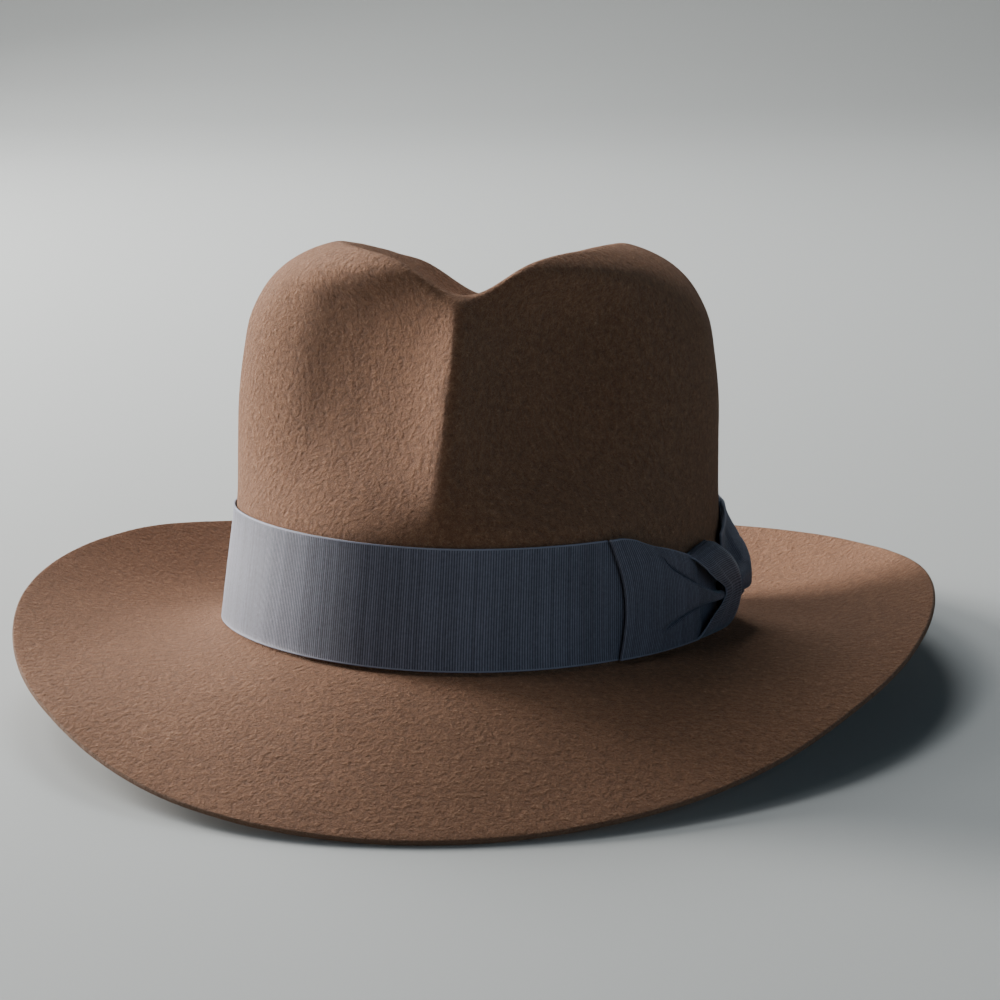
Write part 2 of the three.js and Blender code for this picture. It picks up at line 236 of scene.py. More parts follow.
def addCamera():
    yaw, elevation, roll = (math.radians(view[key]) for key in ("yaw", "elevation", "roll"))
    turnBack = Matrix.Rotation(-yaw, 3, "Z")
    eye = Vector((0, -view["distance"] * math.cos(elevation), view["distance"] * math.sin(elevation)))
    forward = -eye.normalized()
    right = Vector((1, 0, 0))
    up = right.cross(forward)
    # the ray through the middle of the picture, which is a little off the hat's foot
    du, dv = (view["picture"] / 2 - pixel for pixel in view["hatPixel"])
    u = du * math.cos(roll) + dv * math.sin(roll)
    v = -du * math.sin(roll) + dv * math.cos(roll)
    aim = (forward * view["pixels"] + right * u - up * v).normalized()
    rolledUp = up * math.cos(roll) + right * math.sin(roll)
    side = aim.cross(rolledUp).normalized()
    top = side.cross(aim)
    basis = np.array([turnBack @ side, turnBack @ top, turnBack @ -aim]).T
    basis = restMatrix @ basis
    place = restPlace(np.array(turnBack @ eye))
    data = bpy.data.cameras.new("camera")
    data.lens = view["pixels"] / view["picture"] * data.sensor_width
    data.clip_start = view["near"]
    data.clip_end = view["far"]
    camera = bpy.data.objects.new("camera", data)
    bpy.context.scene.collection.objects.link(camera)
    matrix = Matrix([list(row) for row in basis]).to_4x4()
    matrix.translation = Vector(place)
    camera.matrix_world = matrix
    bpy.context.scene.camera = camera
    print("camera at", [round(value, 3) for value in place])


# turn (0 is the bow's side, 180 the other side, -90 the front), height in degrees, width, watts, colour
lights = {
    "windowLow": (150, 8, 0.6, 63.0, (1.0, 0.96, 0.92)),
    "windowMiddle": (150, 22, 0.7, 64.0, (1.0, 0.96, 0.92)),
    "windowSide": (112, 22, 0.7, 9.0, (1.0, 0.98, 0.96)),
    "windowHigh": (155, 55, 0.8, 15.0, (1.0, 0.98, 0.96)),
    "backHigh": (102, 50, 0.8, 18.0, (0.96, 0.98, 1.0)),
    "roomHigh": (205, 58, 0.9, 3.5, (0.94, 0.97, 1.0)),
    "frontFill": (304, 20, 1.2, 5.2, (0.58, 0.81, 1.0)),
}
lightDistance = 2.0
lightAim = (0, 0, 0.06)
worldLight = {"colour": (0.62, 0.68, 0.72), "strength": 0.03}


def addLights():
    aim = Vector(lightAim)
    for name, (turn, height, width, watts, colour) in lights.items():
        data = bpy.data.lights.new(name, "AREA")
        data.shape = "DISK"
        data.size = width
        data.energy = watts
        data.color = colour
        lamp = bpy.data.objects.new(name, data)
        bpy.context.scene.collection.objects.link(lamp)
        turn, height = math.radians(turn), math.radians(height)
        level = math.cos(height)
        toLamp = Vector((level * math.cos(turn), level * math.sin(turn), math.sin(height)))
        lamp.location = aim + toLamp * lightDistance
        lamp.rotation_euler = (-toLamp).to_track_quat("-Z", "Y").to_euler()
    world = bpy.data.worlds.new("studio")
    world.use_nodes = True
    background = world.node_tree.nodes["Background"]
    background.inputs["Color"].default_value = (*worldLight["colour"], 1)
    background.inputs["Strength"].default_value = worldLight["strength"]
    bpy.context.scene.world = world
    print("lights placed")


# shared shader pieces

def newMaterial(name):
    material = bpy.data.materials.new(name)
    material.use_nodes = True
    nodes = material.node_tree.nodes
    return material, nodes, material.node_tree.links, nodes["Principled BSDF"]


# input, output, usual scale, detail, roughness, distortion
mottleRows = [
    ("Patch Scale", "Patches", 20, 3, 0.55, 0),
    ("Speckle Scale", "Speckle", 400, 4, 0.65, 0),
    ("Fibre Scale", "Fibres", 1500, 3, 0.7, 1.2),
]


def mottleGroup():
    # soft patches, a fine speckle and short twisted fibres, each as a mask
    group = bpy.data.node_groups.new("mottle", "ShaderNodeTree")
    face = group.interface
    face.new_socket("Vector", in_out="INPUT", socket_type="NodeSocketVector")
    for scaleName, _, scale, *_ in mottleRows:
        face.new_socket(scaleName, in_out="INPUT", socket_type="NodeSocketFloat").default_value = scale
    for _, outName, *_ in mottleRows:
        face.new_socket(outName, in_out="OUTPUT", socket_type="NodeSocketFloat")
    nodes, links = group.nodes, group.links
    source = nodes.new("NodeGroupInput")
    result = nodes.new("NodeGroupOutput")
    for scaleName, outName, _, detail, rough, distortion in mottleRows:
        cloud = nodes.new("ShaderNodeTexNoise")
        cloud.inputs["Detail"].default_value = detail
        cloud.inputs["Roughness"].default_value = rough
        cloud.inputs["Distortion"].default_value = distortion
        links.new(source.outputs["Vector"], cloud.inputs["Vector"])
        links.new(source.outputs[scaleName], cloud.inputs["Scale"])
        links.new(cloud.outputs["Fac"], result.inputs[outName])
    return group


def mottleNode(nodes, links, mottle, scales):
    cloud = nodes.new("ShaderNodeGroup")
    cloud.node_tree = mottle
    for (scaleName, *_), scale in zip(mottleRows, scales):
        cloud.inputs[scaleName].default_value = scale
    links.new(objectVector(nodes, links), cloud.inputs["Vector"])
    return cloud


def ramp(nodes, stops):
    node = nodes.new("ShaderNodeValToRGB")
    elements = node.color_ramp.elements
    elements[0].position, elements[0].color = stops[0][0], (*stops[0][1], 1)
    elements[1].position, elements[1].color = stops[-1][0], (*stops[-1][1], 1)
    for place, colour in stops[1:-1]:
        element = elements.new(place)
        element.color = (*colour, 1)
    return node


def mathNode(nodes, links, kind, first, second=None):
    node = nodes.new("ShaderNodeMath")
    node.operation = kind
    for socket, value in zip(node.inputs, (first, second)):
        if value is None:
            continue
        if isinstance(value, (int, float)):
            socket.default_value = value
        else:
            links.new(value, socket)
    return node.outputs["Value"]


def weightedSum(nodes, links, *terms):
    total = None
    for value, weight in terms:
        part = mathNode(nodes, links, "MULTIPLY", value, weight)
        total = part if total is None else mathNode(nodes, links, "ADD", total, part)
    return total


def mixColour(nodes, links, kind, amount, first, second):
    node = nodes.new("ShaderNodeMix")
    node.data_type = "RGBA"
    node.blend_type = kind
    for socket, value in ((node.inputs[0], amount), (node.inputs[6], first), (node.inputs[7], second)):
        if isinstance(value, (int, float)):
            socket.default_value = value
        elif isinstance(value, tuple):
            socket.default_value = (*value, 1)
        else:
            links.new(value, socket)
    return node.outputs[2]


def objectVector(nodes, links):
    texture = nodes.new("ShaderNodeTexCoord")
    mapping = nodes.new("ShaderNodeMapping")
    links.new(texture.outputs["Object"], mapping.inputs["Vector"])
    return mapping.outputs["Vector"]


def setSheen(shader, look):
    shader.inputs["Specular IOR Level"].default_value = look["specular"]
    shader.inputs["Sheen Weight"].default_value = look["sheen"]
    shader.inputs["Sheen Roughness"].default_value = look["sheenRoughness"]
    shader.inputs["Sheen Tint"].default_value = (*look["sheenTint"], 1)


def addBump(nodes, links, shader, height, look):
    bump = nodes.new("ShaderNodeBump")
    bump.inputs["Strength"].default_value = look["bumpStrength"]
    bump.inputs["Distance"].default_value = look["bumpDistance"]
    links.new(height, bump.inputs["Height"])
    links.new(bump.outputs["Normal"], shader.inputs["Normal"])


def finishMesh(bm, name, material):
    mesh = bpy.data.meshes.new(name)
    bm.to_mesh(mesh)
    bm.free()
    mesh.materials.append(material)
    for polygon in mesh.polygons:
        polygon.use_smooth = True
    piece = bpy.data.objects.new(name, mesh)
    bpy.context.scene.collection.objects.link(piece)
    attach(piece, "root")
    print(name, "has", sum(len(p.vertices) - 2 for p in mesh.polygons), "triangles")
    return piece


# felt

# lengths are in millimetres, but bump distances in metres; calm values are stations
felt = {
    "turns": 240,
    "crownRings": 118,
    "brimRings": 44,
    "thickness": 2.0,
    "edgeRound": 0.55,
    "edgeAngles": (30, 60, 90),
    "unevenness": 0.35,
    "waveScale": 26,
    "fineWaveScale": 61,
    "fineWaveShare": 0.45,
    "fineWaveShift": (3, 1, 2),
    "calmFrom": (0.74, 0.8),
    "calmTo": (1.01, 1.1),
    "tones": [
        (0.33, (0.155, 0.071, 0.041)), (0.5, (0.268, 0.128, 0.07)), (0.62, (0.4, 0.205, 0.114)),
        (0.7, (0.68, 0.45, 0.31)),
    ],
    "cutEdge": (0.2, 0.11, 0.07),
    "mottleScales": (13, 500, 1500),
    "speckleShare": 0.45,
    "fibreShare": 0.55,
    "drift": 0.14,
    "roughness": 0.76,
    "roughnessSpread": 0.2,
    "specular": 0.15,
    "sheen": 0.24,
    "sheenRoughness": 0.45,
    "sheenTint": (1.0, 0.76, 0.57),
    "napFibres": 0.35,
    "napSpeckle": 1.0,
    "bumpStrength": 1.0,
    "bumpDistance": 0.0034,
}


def feltMaterial(mottle):
    material, nodes, links, shader = newMaterial("furFelt")
    cloud = mottleNode(nodes, links, mottle, felt["mottleScales"])
    speckle, fibres = cloud.outputs["Speckle"], cloud.outputs["Fibres"]
    # the grain runs from dark pores to pale fibre tips, and soft patches shift it
    grain = weightedSum(nodes, links, (speckle, felt["speckleShare"]), (fibres, felt["fibreShare"]))
    fromMean = mathNode(nodes, links, "SUBTRACT", cloud.outputs["Patches"], 0.5)
    drift = mathNode(nodes, links, "MULTIPLY", fromMean, felt["drift"])
    tone = ramp(nodes, felt["tones"])
    links.new(mathNode(nodes, links, "ADD", grain, drift), tone.inputs["Fac"])
    cut = nodes.new("ShaderNodeAttribute")
    cut.attribute_name = "cutEdge"
    edged = mixColour(nodes, links, "MIX", cut.outputs["Fac"], tone.outputs["Color"], felt["cutEdge"])
    links.new(edged, shader.inputs["Base Color"])
    spread = mathNode(nodes, links, "MULTIPLY", speckle, felt["roughnessSpread"])
    links.new(mathNode(nodes, links, "ADD", spread, felt["roughness"]), shader.inputs["Roughness"])
    setSheen(shader, felt)
    nap = weightedSum(nodes, links, (fibres, felt["napFibres"]), (speckle, felt["napSpeckle"]))
    addBump(nodes, links, shader, nap, felt)
    return material


def feltRings():
    # station, depth into the felt and cut edge mask, from the top out over the brim and back inside
    skin, round_ = felt["thickness"], felt["edgeRound"]
    crown = np.linspace(0, 1, felt["crownRings"] + 1)[1:]
    brim = 1 + np.linspace(0, 1 - round_ / hat["brimWidth"], felt["brimRings"] + 1)[1:]
    rings = [(station, 0.0, 0.0) for station in (*crown, *brim)]
    corner = []
    for angle in felt["edgeAngles"]:
        back, deep = 1 - math.sin(math.radians(angle)), 1 - math.cos(math.radians(angle))
        corner.append((2 - back * round_ / hat["brimWidth"], deep * round_))
    rings += [(station, deep, 1.0) for station, deep in corner]
    rings += [(station, skin - deep, 1.0) for station, deep in corner[::-1]]
    rings += [(station, skin, 0.0) for station in (*brim[::-1], *crown[::-1])]
    return rings


def feltWaves(points, stations):
    # slight unevenness of felt shaped by hand, left out under the ribbon
    under = smoothStep(stations, *felt["calmFrom"]) * (1 - smoothStep(stations, *felt["calmTo"]))
    fineShift = Vector(felt["fineWaveShift"])
    waves = np.array([
        noise.noise(Vector(p) * felt["waveScale"])
        + felt["fineWaveShare"] * noise.noise(Vector(p) * felt["fineWaveScale"] + fineShift)
        for p in restPlace(points)])
    return felt["unevenness"] * waves * (1 - under)


def buildFelt(material):
    bm = bmesh.new()
    turnLayer = bm.verts.layers.float.new("turn")
    edgeLayer = bm.verts.layers.float.new("cutEdge")
    bmesh.ops.create_circle(bm, cap_ends=True, cap_tris=True, segments=felt["turns"], radius=1)
    centre = next(vertex for vertex in bm.verts if vertex.co.length < 0.5)
    ring = [vertex for vertex in bm.verts if vertex is not centre]
    edges = [edge for edge in bm.edges if centre not in edge.verts]
    for vertex in ring:
        vertex[turnLayer] = math.degrees(math.atan2(vertex.co.y, vertex.co.x))
    top = feltPoint(np.zeros(1), np.zeros(1))
    topWave = feltWaves(top, np.zeros(1))[0]
    centre.co = restPlace(top[0] + np.array([0, 0, topWave]))
    for index, (station, depth, cut) in enumerate(feltRings()):
        if index:
            grown = bmesh.ops.extrude_edge_only(bm, edges=edges)["geom"]
            ring = [item for item in grown if isinstance(item, bmesh.types.BMVert)]
            edges = [item for item in grown if isinstance(item, bmesh.types.BMEdge)]
        turns = np.array([vertex[turnLayer] for vertex in ring])
        stations = np.full(len(ring), station)
        surface = feltPoint(turns, stations)
        places = surface + feltNormal(turns, stations) * (feltWaves(surface, stations) - depth)[:, None]
        for vertex, place in zip(ring, restPlace(places)):
            vertex.co = place
            vertex[edgeLayer] = cut
    # closes the inside of the crown on one middle point
    grown = bmesh.ops.extrude_edge_only(bm, edges=edges)["geom"]
    ring = [item for item in grown if isinstance(item, bmesh.types.BMVert)]
    middle = top[0] + np.array([0, 0, topWave - felt["thickness"]])
    bmesh.ops.pointmerge(bm, verts=ring, merge_co=Vector(restPlace(middle)))
    bmesh.ops.recalc_face_normals(bm, faces=bm.faces)
    return finishMesh(bm, "feltHat", material)


mottle = mottleGroup()
addCamera()
addLights()
furFelt = feltMaterial(mottle)
feltHat = buildFelt(furFelt)
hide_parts("felt_body")
print("felt made")

# ribbon

# turns are in degrees, lengths in millimetres, and a run is where a blend starts and ends
ribbon = {
    "pitch": 0.82,
    "columnsPerRib": 4,
    "ribHeight": 0.14,
    "thickness": 0.6,
    "gap": 0.3,
    "selvedge": 0.014,
    "startTurn": -355.0,
    "endTurn": -50.5,
    "endTuck": 0.07,
    "foldDip": 2.8,
    "foldSlant": 2.5,
    "ribRoundness": 0.7,
    "pathDistance": 0.8,
    "pathSteps": 3000,
    "tuckRun": (6.5, 3.5),
    "selvedgeRise": 0.1,
    "flutter": 0.12,
    "flutterWaves": (41, 0.6),
    "drift": 0.4,
    # tones run from a painted highlight on the rib tops to painted shade in the valleys between them
    "tones": [
        (0.0, (0.236, 0.238, 0.31)), (0.45, (0.16, 0.16, 0.212)), (0.95, (0.058, 0.058, 0.077)),
    ],
    # painted highlight along both selvedges, where their rolled edges catch the light
    "selvedgeHighlight": (0.2, 0.206, 0.268),
    "mottleScales": (24, 900, 3200),
    "ribShare": 0.22,
    "speckleShare": 0.7,
    "patchShare": 0.5,
    "roughness": 0.5,
    "roughnessSpread": 0.22,
    "specular": 0.4,
    "sheen": 0.34,
    "sheenRoughness": 0.35,
    "sheenTint": (0.58, 0.78, 1.0),
    "bumpStrength": 0.35,
    "bumpDistance": 0.0002,
}
# height, waves along the band, start
driftRows = [(0.1, 63, 0), (0.08, 147, 2)]


def ribbonMaterial(mottle):
    # the UV map holds ribs along u and the width of the ribbon along v
    material, nodes, links, shader = newMaterial("grosgrain")
    uv = nodes.new("ShaderNodeUVMap")
    uv.uv_map = "weave"
    split = nodes.new("ShaderNodeSeparateXYZ")
    links.new(uv.outputs["UV"], split.inputs["Vector"])
    # whole numbers of u are the tops of the ribs, so half a rib more puts the steps in the valleys
    shifted = mathNode(nodes, links, "ADD", split.outputs["X"], 0.5)
    phase = mathNode(nodes, links, "FRACT", shifted)
    fromTop = mathNode(nodes, links, "ABSOLUTE", mathNode(nodes, links, "SUBTRACT", phase, 0.5))
    valleyMask = mathNode(nodes, links, "MULTIPLY", fromTop, 2.0)
    # painted highlight and painted shade: the colour is lightest on each rib's top and darkest in the valley
    # beside it
    tone = ramp(nodes, ribbon["tones"])
    links.new(valleyMask, tone.inputs["Fac"])
    # every rib differs a little, and long soft patches run through them
    ribNoise = nodes.new("ShaderNodeTexWhiteNoise")
    ribNoise.noise_dimensions = "1D"
    links.new(mathNode(nodes, links, "FLOOR", shifted), ribNoise.inputs["W"])
    cloud = mottleNode(nodes, links, mottle, ribbon["mottleScales"])
    shade = weightedSum(
        nodes, links, (ribNoise.outputs["Value"], ribbon["ribShare"]),
        (cloud.outputs["Speckle"], ribbon["speckleShare"]), (cloud.outputs["Patches"], ribbon["patchShare"]))
    gain = nodes.new("ShaderNodeCombineColor")
    for channel in gain.inputs:
        links.new(shade, channel)
    varied = mixColour(nodes, links, "MULTIPLY", 1.0, tone.outputs["Color"], gain.outputs["Color"])
    across = mathNode(nodes, links, "SUBTRACT", split.outputs["Y"], 0.5)
    fromMiddle = mathNode(nodes, links, "ABSOLUTE", across)
    # painted highlight: a lighter colour along both selvedges
    selvedge = mathNode(nodes, links, "GREATER_THAN", fromMiddle, 0.5 - ribbon["selvedge"])
    edged = mixColour(nodes, links, "MIX", selvedge, varied, ribbon["selvedgeHighlight"])
    links.new(edged, shader.inputs["Base Color"])
    spread = mathNode(nodes, links, "MULTIPLY", valleyMask, ribbon["roughnessSpread"])
    links.new(mathNode(nodes, links, "ADD", spread, ribbon["roughness"]), shader.inputs["Roughness"])
    setSheen(shader, ribbon)
    addBump(nodes, links, shader, cloud.outputs["Fibres"], ribbon)
    return material


def stripGrid(columns, shares, placeOf, uvOf):
    # one sheet of ribbon as a grid, its columns and rows put in place by placeOf
    bm = bmesh.new()
    bmesh.ops.create_grid(bm, x_segments=columns, y_segments=len(shares) - 1, size=1)
    uvLayer = bm.loops.layers.uv.new("weave")
    rows = np.array([round((vertex.co.y + 1) / 2 * (len(shares) - 1)) for vertex in bm.verts])
    u = np.array([(vertex.co.x + 1) / 2 for vertex in bm.verts])
    v = np.array(shares)[rows]
    places = restPlace(placeOf(u, v))
    uvs = uvOf(u, v)
    for vertex, place in zip(bm.verts, places):
        vertex.co = place
    bm.verts.index_update()
    for face in bm.faces:
        for loop in face.loops:
            loop[uvLayer].uv = uvs[loop.vert.index]
    return bm


def ribWave(phase, height):
    # a row of rounded ribs with narrow valleys between them
    return height * (np.abs(np.cos(np.pi * phase)) ** ribbon["ribRoundness"] - 0.5)


selvedgeRun = (0.012, 0.03)


def selvedgeFade(share):
    # the ribs end at the smooth selvedges
    return smoothStep(share, *selvedgeRun) * smoothStep(1 - share, *selvedgeRun)


# rows across the band, closer along its selvedges
bandLines = [
    0, 0.006, 0.014, 0.022, 0.034, 0.1, 0.25, 0.42, 0.58, 0.75, 0.9, 0.966, 0.978, 0.986, 0.994, 1,
]


def foldShift(v):
    # the folds of the bow curve towards the knot
    return ribbon["foldDip"] * np.sin(np.pi * v) + ribbon["foldSlant"] * (1 - v)


def buildBand(material):
    endTurn = ribbon["endTurn"]
    around = np.linspace(ribbon["startTurn"], endTurn, ribbon["pathSteps"])
    path = ribbonPoint(around, np.full(len(around), 0.5), np.full(len(around), ribbon["pathDistance"]))
    lengths = np.concatenate([[0], np.cumsum(np.linalg.norm(np.diff(path, axis=0), axis=1))])
    ribs = round(lengths[-1] / ribbon["pitch"])
    tuckFrom, tuckTo = (endTurn - turn for turn in ribbon["tuckRun"])
    waves, waveShare = ribbon["flutterWaves"]

    def placeOf(u, v):
        turn = np.interp(u * lengths[-1], lengths, around)
        # the band's end is lower, so that it stays hidden under the bow's fold
        tucked = v * (1 - ribbon["endTuck"] * smoothStep(turn, tuckFrom, tuckTo))
        fade = selvedgeFade(v)
        drift = sum(height * np.sin(u * count + start) for height, count, start in driftRows)
        rib = ribWave(u * ribs, ribbon["ribHeight"]) * fade + ribbon["selvedgeRise"] * (1 - fade)
        flutter = ribbon["flutter"] * (2 * v - 1) ** 4 * (1 + np.sin(u * waves) * waveShare)
        distance = ribbon["gap"] + ribbon["thickness"] + rib + flutter + drift * ribbon["drift"]
        return ribbonPoint(turn, tucked, distance)

    columns = ribs * ribbon["columnsPerRib"]
    bm = stripGrid(columns, bandLines, placeOf, lambda u, v: np.stack([u * ribs, v], -1))
    closeSheet(bm, ribbon["thickness"])
    return finishMesh(bm, "ribbonBand", material)


fromRest = np.linalg.inv(restMatrix)


def awayFromAxis(place):
    own = fromRest @ (np.array(place) / mm - np.array(hat["restShift"]))
    return Vector(restMatrix @ np.array([own[0], own[1], 0.0]))


def closeSheet(bm, thickness):
    # turns the sheet to face away from the crown and gives it its thickness behind
    bmesh.ops.recalc_face_normals(bm, faces=bm.faces)
    bm.normal_update()
    outermost = max(bm.faces, key=lambda face: awayFromAxis(face.calc_center_median()).length)
    if outermost.normal.dot(awayFromAxis(outermost.calc_center_median())) < 0:
        bmesh.ops.reverse_faces(bm, faces=bm.faces)
    bmesh.ops.solidify(bm, geom=bm.faces[:], thickness=thickness * mm)


grosgrain = ribbonMaterial(mottle)
ribbonBand = buildBand(grosgrain)
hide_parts("ribbon_band")
print("ribbon made")

# bow

bow = {
    "frontFold": -56.5,
    "frontPinch": -19.0,
    "rearFold": 14.5,
    "rearPinch": -13.0,
    "foldDistance": 3.3,
    "lowerDistance": 1.7,
    "nearest": 2.4,
    "layer": 0.55,
    "creaseAt": (0.3, 0.7),
    "creaseWidth": 0.019,
    "columnsPerRib": 4,
    "layerShares": (0.47, 0.03, 0.5),
    "radiusGain": 1.03,
    "ovalGain": 1.08,
    "lip": 0.08,
    "fullness": 0.45,
    "fullnessRun": (0.1, 0.5),
    "upperRun": (0.6, 1.0),
    "lowerRun": (-0.4, 0.0),
    "dropRun": (-0.002, 0.012),
    "recovery": 0.8,
    "recoveryRun": (0.05, 0.2),
    "hollowRun": (0, 0.03),
    "slack": 0.16,
    "slackWaves": (9, 5),
    "slackRun": (0.05, 0.3),
}

# along from the fold: low edge, lower crease, upper crease, high edge, distance of the middle,
# distance of the top edge, distance of the low edge, groove of the creases, drop beyond them, hollow
frontWingRows = [
    (0, 0, 0.3, 0.7, 1.0, 3.3, 3.2, 3.2, 0, 0, 0),
    (0.08, 0, 0.29, 0.73, 1.0, 3.6, 3.3, 3.3, 0, 0, 0),
    (0.18, 0.003, 0.23, 0.79, 0.96, 4.1, 3.5, 3.6, 0, 0, 0),
    (0.28, 0.006, 0.185, 0.8, 0.905, 4.6, 3.7, 3.9, 0.45, 0.2, 0),
    (0.38, 0.008, 0.22, 0.69, 0.865, 5.0, 3.9, 4.2, 1.8, 0.9, 0),
    (0.54, 0.012, 0.283, 0.555, 0.79, 5.6, 4.2, 4.5, 2.3, 1.3, 0),
    (0.68, 0.016, 0.304, 0.462, 0.715, 6.0, 4.2, 4.5, 2.1, 1.7, 0.6),
    (0.735, 0.018, 0.304, 0.43, 0.7, 6.3, 3.8, 4.0, 1.0, 1.8, 4.0),
    (0.87, 0.03, 0.292, 0.363, 0.66, 6.2, 3.4, 3.6, 0.4, 1.5, 3.6),
    (1, 0.04, 0.285, 0.345, 0.62, 5.8, 3.2, 3.4, 0.2, 1.5, 3.6),
]
rearWingRows = [
    (0, 0, 0.3, 0.7, 1.02, 3.3, 3.3, 3.2, 0, 0, 0),
    (0.12, 0, 0.3, 0.71, 1.015, 4.3, 2.7, 3.3, 0, 0, 0),
    (0.28, 0.01, 0.29, 0.73, 1.0, 6.4, 2.45, 3.5, 0.2, 0.1, 0),
    (0.42, 0.025, 0.26, 0.7, 0.98, 8.2, 2.4, 3.6, 0.6, 0.3, 0),
    (0.58, 0.05, 0.25, 0.62, 0.95, 9.6, 2.4, 3.5, 0.8, 0.5, 0),
    (0.72, 0.07, 0.27, 0.55, 0.91, 10.2, 2.4, 3.3, 0.8, 0.6, 0.1),
    (0.8, 0.09, 0.29, 0.5, 0.88, 10.2, 2.4, 3.1, 0.5, 0.6, 1.2),
    (1, 0.14, 0.33, 0.45, 0.8, 8.8, 2.4, 2.9, 0.2, 0.6, 1.4),
]
# rows across a wing, closer along its selvedges and creases
wingLines = [
    0, 0.008, 0.02, 0.034, 0.07, 0.11, 0.15, 0.19, 0.23, 0.26, 0.275, 0.285, 0.291, 0.2955, 0.3, 0.3045,
    0.309, 0.316, 0.326, 0.345, 0.38, 0.42, 0.46, 0.5, 0.54, 0.58, 0.62, 0.655, 0.674, 0.684, 0.691, 0.6955,
    0.7, 0.7045, 0.709, 0.716, 0.726, 0.745, 0.78, 0.82, 0.86, 0.9, 0.94, 0.966, 0.98, 0.992, 1,
]


def wingShare(rows, along, v):
    # the creases keep their place in v, so that the mesh has close lines along them
    low, lowCrease, highCrease, high = (readRows(rows, column, along) for column in (1, 2, 3, 4))
    first, second = bow["creaseAt"]
    return np.where(v < first, low + (lowCrease - low) * v / first,
                    np.where(v > second, highCrease + (high - highCrease) * (v - second) / (1 - second),
                             lowCrease + (highCrease - lowCrease) * (v - first) / (second - first)))


def wingDistance(rows, along, v):
    middle, top, bottom, groove, drop, hollow = (readRows(rows, column, along) for column in range(5, 11))
    first, second = bow["creaseAt"]
    beyond = np.maximum(first - v, v - second)
    between = np.clip((v - first) / (second - first), 0, 1)
    rounded = np.sin(between * np.pi) * bow["fullness"] * smoothStep(along, *bow["fullnessRun"])
    upper = middle + (top - middle) * smoothStep(v, *bow["upperRun"])
    lower = middle + (bottom - middle) * smoothStep(-v, *bow["lowerRun"])
    distance = np.where(v > 0.5, upper, lower) + rounded
    distance -= groove * np.exp(-((beyond / bow["creaseWidth"]) ** 2))
    recovered = bow["recovery"] * smoothStep(beyond, *bow["recoveryRun"])
    distance -= drop * smoothStep(beyond, *bow["dropRun"]) * (1 - recovered)
    distance -= hollow * smoothStep(beyond, *bow["hollowRun"])
    wavesAlong, wavesAcross = bow["slackWaves"]
    slack = bow["slack"] * np.sin(along * wavesAlong + v * wavesAcross) * smoothStep(along, *bow["slackRun"])
    return np.maximum(distance + slack, bow["nearest"])


def buildWing(name, rows, foldTurn, pinchTurn, node):
    toPinch = np.sign(pinchTurn - foldTurn)
    perDegree = hat["halfWidth"] * bow["radiusGain"] * math.pi / 180 * bow["ovalGain"]
    ribs = round(abs(pinchTurn - foldTurn) * perDegree / ribbon["pitch"])
    foldRadius = (bow["foldDistance"] - bow["lowerDistance"]) / 2
    foldMiddle = (bow["foldDistance"] + bow["lowerDistance"]) / 2
    lowerShare, foldShare, topShare = bow["layerShares"]

    def placeOf(u, v):
        # u runs along the hidden lower layer, round the fold and back over the top layer
        isLower, isFold = u < lowerShare, (u >= lowerShare) & (u < 1 - topShare)
        alongTop = (u - (1 - topShare)) / topShare
        along = np.where(isLower, 1 - u / lowerShare, np.where(isFold, 0, alongTop))
        start = foldTurn + toPinch * foldShift(v)
        turn = start + (pinchTurn - start) * along
        bend = np.clip((u - lowerShare) / foldShare, 0, 1) * np.pi
        turn = np.where(isFold, turn - toPinch * np.sin(bend) * foldRadius / perDegree, turn)
        above = np.where(isFold, foldMiddle - np.cos(bend) * foldRadius, wingDistance(rows, along, v))
        distance = np.where(isLower, bow["lowerDistance"], above)
        rib = np.where(isLower, 0, ribWave(along * ribs, ribbon["ribHeight"]) * selvedgeFade(v))
        lip = np.where(isLower, 0, bow["lip"] * (1 - selvedgeFade(v)))
        return ribbonPoint(turn, wingShare(rows, along, v), distance + rib + lip)

    columns = 2 * ribs * bow["columnsPerRib"]
    bm = stripGrid(columns, wingLines, placeOf, lambda u, v: np.stack([u * 2 * ribs, v], -1))
    closeSheet(bm, bow["layer"])
    piece = finishMesh(bm, name, grosgrain)
    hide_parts(node)


knot = {
    "ribs": 62,
    "thickness": 0.6,
    "low": 0.012,
    "behind": 1.6,
    "pleat": 0.22,
    "pleatMiddle": 0.35,
    "ribHeight": 0.025,
    "columnsPerRib": 4,
    "roundness": 0.62,
    "sideRoundness": 0.86,
    "wrap": 1.04,
    "waist": 0.9,
    "waistAt": 0.34,
    "waistWidth": 0.14,
    "waistFade": 0.6,
    "nearest": 1.3,
    "steps": 36,
    "edgeLines": (0, 0.012, 0.03, 0.97, 0.988, 1),
}
# place across the knot, slant, width, share of the pleat's depth
knotPleats = [(0.36, 0.1, 0.05, 1.0), (0.7, -0.15, 0.06, 0.8)]
# share of the ribbon's width: turn of the front edge, turn of the back edge
knotEdges = [
    (-0.05, -32.6, -18.5), (0.04, -31.9, -17.5), (0.12, -30.6, -16), (0.21, -27.6, -14), (0.29, -22.8, -12.6),
    (0.345, -20.8, -12.2), (0.4, -22, -12.6), (0.51, -27.4, -15), (0.65, -31.6, -19), (0.75, -33.9, -22.5),
    (0.85, -35, -24.5),
]
# across from the front edge to the back one: top, full distance
knotRows = [
    (0, 0.745, 7.9), (0.12, 0.752, 8.2), (0.3, 0.768, 8.5), (0.5, 0.787, 8.4), (0.7, 0.8, 9.1),
    (0.86, 0.808, 9.4), (1, 0.812, 8.9),
]


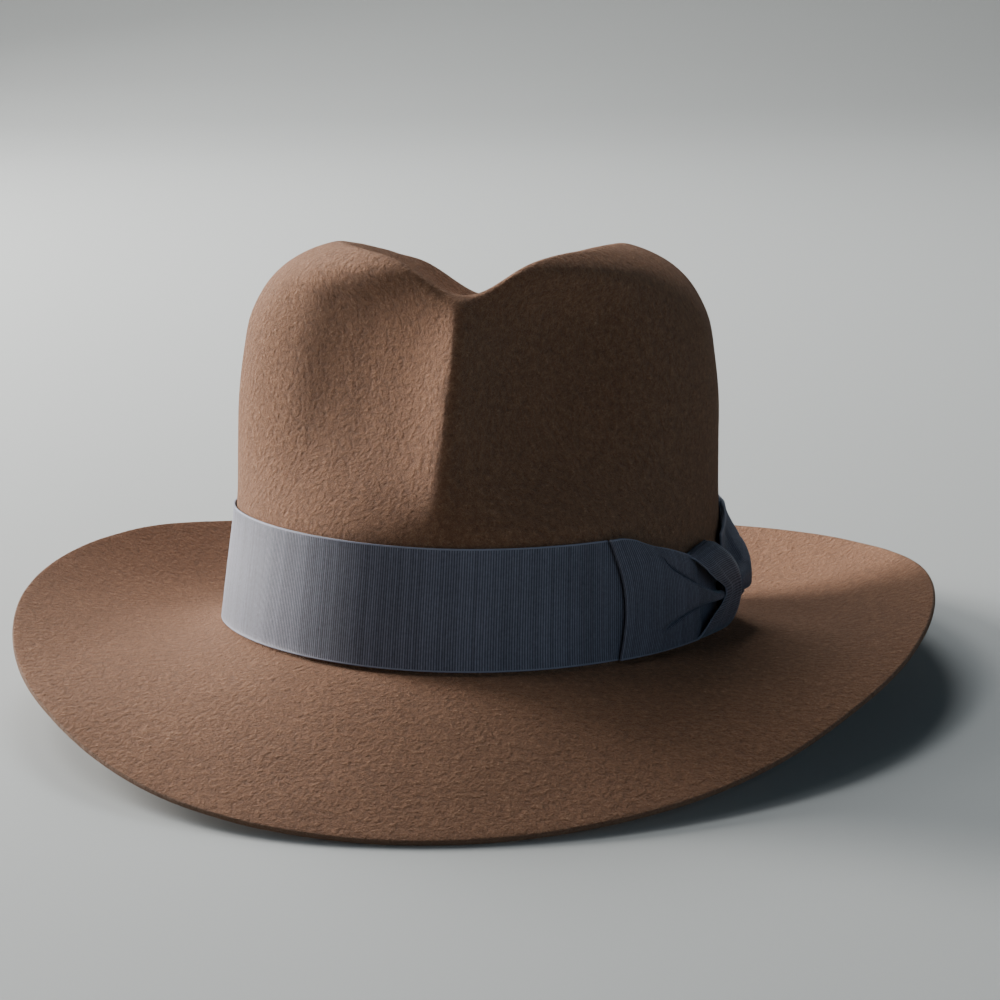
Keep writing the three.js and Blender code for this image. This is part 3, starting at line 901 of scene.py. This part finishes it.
def buildKnot(material):
    ribs, low, behind = knot["ribs"], knot["low"], knot["behind"]

    def placeOf(u, v):
        # u runs up the front of the knot from behind its foot to behind its top, v across it
        angle = (u - 0.5) * math.pi * knot["wrap"]
        top, full = readRows(knotRows, 1, v), readRows(knotRows, 2, v)
        sine, cosine = np.sin(angle), np.cos(angle)
        side = np.sign(sine) * np.abs(sine) ** knot["sideRoundness"]
        share = (top + low) / 2 + (top - low) / 2 * side
        bulge = np.abs(cosine) ** knot["roundness"] * np.sign(cosine)
        front, back = readRows(knotEdges, 1, share), readRows(knotEdges, 2, share)
        turn = front + (back - front) * v
        pleat = knot["pleat"] * sum(
            depth * np.exp(-(((v - place - slant * (share - knot["pleatMiddle"])) / width) ** 2))
            for place, slant, width, depth in knotPleats)
        atWaist = np.exp(-(((share - knot["waistAt"]) / knot["waistWidth"]) ** 2))
        pinch = knot["waist"] * atWaist * (1 - knot["waistFade"] * v)
        distance = behind + (full - behind - pleat - pinch) * bulge
        rib = ribWave(u * ribs, knot["ribHeight"]) * selvedgeFade(v)
        return ribbonPoint(turn, share, np.maximum(distance, knot["nearest"]) + rib)

    inner = (round(step / knot["steps"], 4) for step in range(2, knot["steps"] - 1))
    lines = sorted({*knot["edgeLines"], *inner})
    bm = stripGrid(ribs * knot["columnsPerRib"], lines, placeOf, lambda u, v: np.stack([u * ribs, v], -1))
    closeSheet(bm, knot["thickness"])
    piece = finishMesh(bm, "bowKnot", material)
    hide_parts("bow_knot")


buildWing("bowFrontWing", frontWingRows, bow["frontFold"], bow["frontPinch"], "bow_front_wing")
buildWing("bowRearWing", rearWingRows, bow["rearFold"], bow["rearPinch"], "bow_rear_wing")
buildKnot(grosgrain)
print("bow made")

# floor

floor = {
    "width": 9.0,
    "front": -3.0,
    "flat": 1.7,
    "bend": 1.1,
    "wall": 3.2,
    "segments": 60,
    "colour": (0.36, 0.38, 0.38),
    "roughness": 0.9,
}


def buildFloor():
    # a floor that turns up softly into a plain wall far behind the hat
    bm = bmesh.new()
    bmesh.ops.create_grid(bm, x_segments=2, y_segments=floor["segments"], size=0.5)
    run = floor["flat"] - floor["front"]
    quarter = floor["bend"] * math.pi / 2
    for vertex in bm.verts:
        along = (vertex.co.y + 0.5) * (run + quarter + floor["wall"])
        turn = min(max((along - run) / floor["bend"], 0), math.pi / 2)
        vertex.co = Vector((
            vertex.co.x * floor["width"],
            floor["front"] + min(along, run) + math.sin(turn) * floor["bend"],
            (1 - math.cos(turn)) * floor["bend"] + max(along - run - quarter, 0)))
    mesh = bpy.data.meshes.new("floor")
    bm.to_mesh(mesh)
    bm.free()
    for polygon in mesh.polygons:
        polygon.use_smooth = True
    material, _, _, shader = newMaterial("floorPaint")
    shader.inputs["Base Color"].default_value = (*floor["colour"], 1)
    shader.inputs["Roughness"].default_value = floor["roughness"]
    mesh.materials.append(material)
    stage = bpy.data.objects.new("floor", mesh)
    bpy.context.scene.collection.objects.link(stage)


buildFloor()
bpy.context.view_layer.update()
